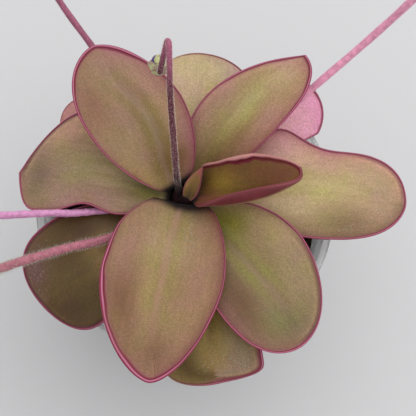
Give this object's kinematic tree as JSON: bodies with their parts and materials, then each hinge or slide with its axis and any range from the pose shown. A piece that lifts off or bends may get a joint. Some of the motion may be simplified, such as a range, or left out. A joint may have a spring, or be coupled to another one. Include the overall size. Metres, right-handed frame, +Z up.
{
  "type": "potted butterwort",
  "caption": "Butterwort rosette of broad rolled-edge leaves with slender flower stalks, rooted in dark mix in a clear round pot.",
  "frame": {"origin": "centre of the flat underside of the pot", "axes": "+Z up along the pot's axis, -Y towards the viewer, +X to the viewer's right"},
  "size_m": [0.1859, 0.1542, 0.1414],
  "materials": {
    "clear_plastic": "clear moulded plastic, slightly hazy, with a white rolled lip",
    "potting_mix": "coarse dark peat and grit",
    "crown": "dark maroon rootstock, matte",
    "leaf": "velvety olive leaf blushing pink to a magenta rolled margin",
    "leaf_pink": "velvety bright pink leaf",
    "stalk": "orchid pink stalk with short glandular hairs",
    "stalk_dark": "dark maroon stalk with short pale hairs",
    "sepal": "green-yellow sepal with a maroon base",
    "petal": "soft violet petal"
  },
  "bodies": {
    "root": {"pot": "clear_plastic", "potting_mix": "potting_mix", "crown": "crown", "leaf_centre_new": "leaf", "leaf_young_folded": "leaf", "leaf_upper_left": "leaf", "leaf_front": "leaf", "leaf_upper_right": "leaf", "leaf_front_right": "leaf", "leaf_left": "leaf", "leaf_right": "leaf", "leaf_lower_left": "leaf", "leaf_front_under": "leaf", "leaf_back": "leaf", "leaf_left_under": "leaf", "leaf_right_under": "leaf_pink", "scape_centre": "stalk_dark", "scape_upper_left": "stalk", "scape_upper_right": "stalk", "scape_left": "stalk", "scape_lower_left": "stalk", "bud_calyx": "sepal", "bud_corolla": "petal", "calyx_upper_left": "sepal", "calyx_upper_right": "sepal", "calyx_left": "sepal", "calyx_lower_left": "sepal", "flower_upper_left": "petal", "flower_upper_right": "petal", "flower_left": "petal", "flower_lower_left": "petal"}
  },
  "joints": []
}
